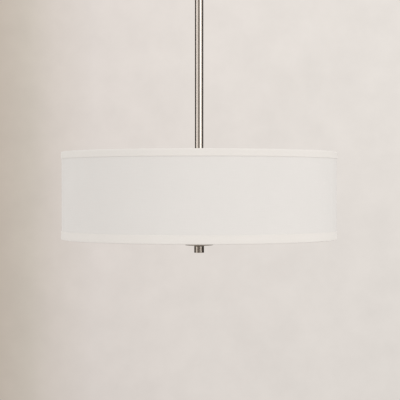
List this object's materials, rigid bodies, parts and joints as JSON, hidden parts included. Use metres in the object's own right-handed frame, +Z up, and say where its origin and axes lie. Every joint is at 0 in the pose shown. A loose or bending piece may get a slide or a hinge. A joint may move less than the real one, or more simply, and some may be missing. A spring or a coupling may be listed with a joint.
{
  "type": "drum pendant light",
  "caption": "Shallow linen drum shade hung on a rigid rod stem from a round ceiling canopy, with a frosted diffuser held up by a finial.",
  "frame": {"origin": "centre of the ceiling plane that the crossbar and the canopy's rim close against", "axes": "+Z up into the ceiling, the light hangs down -Z; X along the crossbar and the swivel's pivot pins; the first arm and bulb point along +Y"},
  "size_m": [0.508, 0.508, 0.72],
  "materials": {
    "brushed_nickel": "satin brushed nickel plate",
    "zinc_steel": "zinc plated, dull",
    "green_screw": "green dyed zinc plate",
    "shade_wire": "white powder coat",
    "white_linen": "fine plain-weave linen on a stiff backing",
    "linen_trim": "folded self-fabric band",
    "frosted_acrylic": "frosted, translucent",
    "cream_lampholder": "unglazed, matte",
    "brass_shell": "rolled thread, bare",
    "bulb_base_metal": "rolled thread, bare",
    "opal_glass": "opal, soft"
  },
  "bodies": {
    "ceiling_set": {"crossbar": "zinc_steel", "ground_screw": "green_screw", "box_screw_left": "zinc_steel", "box_screw_right": "zinc_steel", "canopy_screw_left": "zinc_steel", "canopy_screw_right": "zinc_steel", "canopy_screw_nut_left": "zinc_steel", "canopy_screw_nut_right": "zinc_steel", "canopy": "brushed_nickel", "cap_nut_left": "brushed_nickel", "cap_nut_right": "brushed_nickel", "canopy_washer": "zinc_steel", "stud_nut": "zinc_steel", "swivel_stud": "zinc_steel", "swivel_collar": "brushed_nickel"},
    "swivel_yoke": {"swivel_yoke": "brushed_nickel", "pivot_pin_left": "zinc_steel", "pivot_pin_right": "zinc_steel"},
    "stem_and_shade": {"swivel_eye": "brushed_nickel", "upper_rod": "brushed_nickel", "rod_sleeve": "zinc_steel", "lower_rod": "brushed_nickel", "rod_bushing": "zinc_steel", "stem_collar": "brushed_nickel", "centre_pipe": "zinc_steel", "top_ring_and_spider": "shade_wire", "bottom_ring": "shade_wire", "shade_skin": "white_linen", "top_trim": "linen_trim", "bottom_trim": "linen_trim", "cluster_body": "brushed_nickel", "cluster_cover": "brushed_nickel", "cluster_nut": "zinc_steel", "socket_arm_1": "zinc_steel", "lampholder_1": "cream_lampholder", "screw_shell_1": "brass_shell", "socket_arm_2": "zinc_steel", "lampholder_2": "cream_lampholder", "screw_shell_2": "brass_shell", "socket_arm_3": "zinc_steel", "lampholder_3": "cream_lampholder", "screw_shell_3": "brass_shell", "diffuser_nut": "zinc_steel", "diffuser_washer": "zinc_steel"},
    "diffuser_set": {"diffuser": "frosted_acrylic", "diffuser_cup": "brushed_nickel"},
    "finial": {"finial": "brushed_nickel"},
    "bulb_base_1": {"bulb_base_1": "bulb_base_metal"},
    "bulb_glass_1": {"bulb_glass_1": "opal_glass"},
    "bulb_base_2": {"bulb_base_2": "bulb_base_metal"},
    "bulb_glass_2": {"bulb_glass_2": "opal_glass"},
    "bulb_base_3": {"bulb_base_3": "bulb_base_metal"},
    "bulb_glass_3": {"bulb_glass_3": "opal_glass"}
  },
  "joints": [
    {"name": "swivel_turn", "type": "hinge", "parent": "ceiling_set", "child": "swivel_yoke", "pos_m": [0, 0, -0.0321], "axis": [0, 0, 1], "range_deg": [-164, 164]},
    {"name": "swivel_tilt", "type": "hinge", "parent": "swivel_yoke", "child": "stem_and_shade", "pos_m": [0, 0, -0.0481], "axis": [1, 0, 0], "range_deg": [-45, 45]},
    {"name": "diffuser_drop", "type": "slide", "parent": "stem_and_shade", "child": "diffuser_set", "axis": [0, 0, -1], "range_m": [0, 0.00753]},
    {"name": "finial_turn", "type": "hinge", "parent": "diffuser_set", "child": "finial", "pos_m": [0, 0, -0.69007], "axis": [0, 0, -1], "range_deg": [0, 2880]},
    {"name": "bulb_1_turn", "type": "hinge", "parent": "bulb_base_1", "child": "bulb_glass_1", "pos_m": [0, 0, -0.55276], "axis": [0, 1, 0], "range_deg": [0, 1800]},
    {"name": "bulb_1_out", "type": "slide", "parent": "stem_and_shade", "child": "bulb_base_1", "axis": [0, 1, 0], "range_m": [0, 0.01814]},
    {"name": "bulb_2_turn", "type": "hinge", "parent": "bulb_base_2", "child": "bulb_glass_2", "pos_m": [0, 0, -0.55276], "axis": [-0.866, -0.5, 0], "range_deg": [0, 1800]},
    {"name": "bulb_2_out", "type": "slide", "parent": "stem_and_shade", "child": "bulb_base_2", "axis": [-0.866, -0.5, 0], "range_m": [0, 0.01814]},
    {"name": "bulb_3_turn", "type": "hinge", "parent": "bulb_base_3", "child": "bulb_glass_3", "pos_m": [0, 0, -0.55276], "axis": [0.866, -0.5, 0], "range_deg": [0, 1800]},
    {"name": "bulb_3_out", "type": "slide", "parent": "stem_and_shade", "child": "bulb_base_3", "axis": [0.866, -0.5, 0], "range_m": [0, 0.01814]}
  ],
  "couplings": [
    {"joint": "finial_turn", "follows": "diffuser_drop", "rad_per_m": 6679},
    {"joint": "bulb_1_turn", "follows": "bulb_1_out", "rad_per_m": 1731.6},
    {"joint": "bulb_2_turn", "follows": "bulb_2_out", "rad_per_m": 1731.6},
    {"joint": "bulb_3_turn", "follows": "bulb_3_out", "rad_per_m": 1731.6}
  ]
}
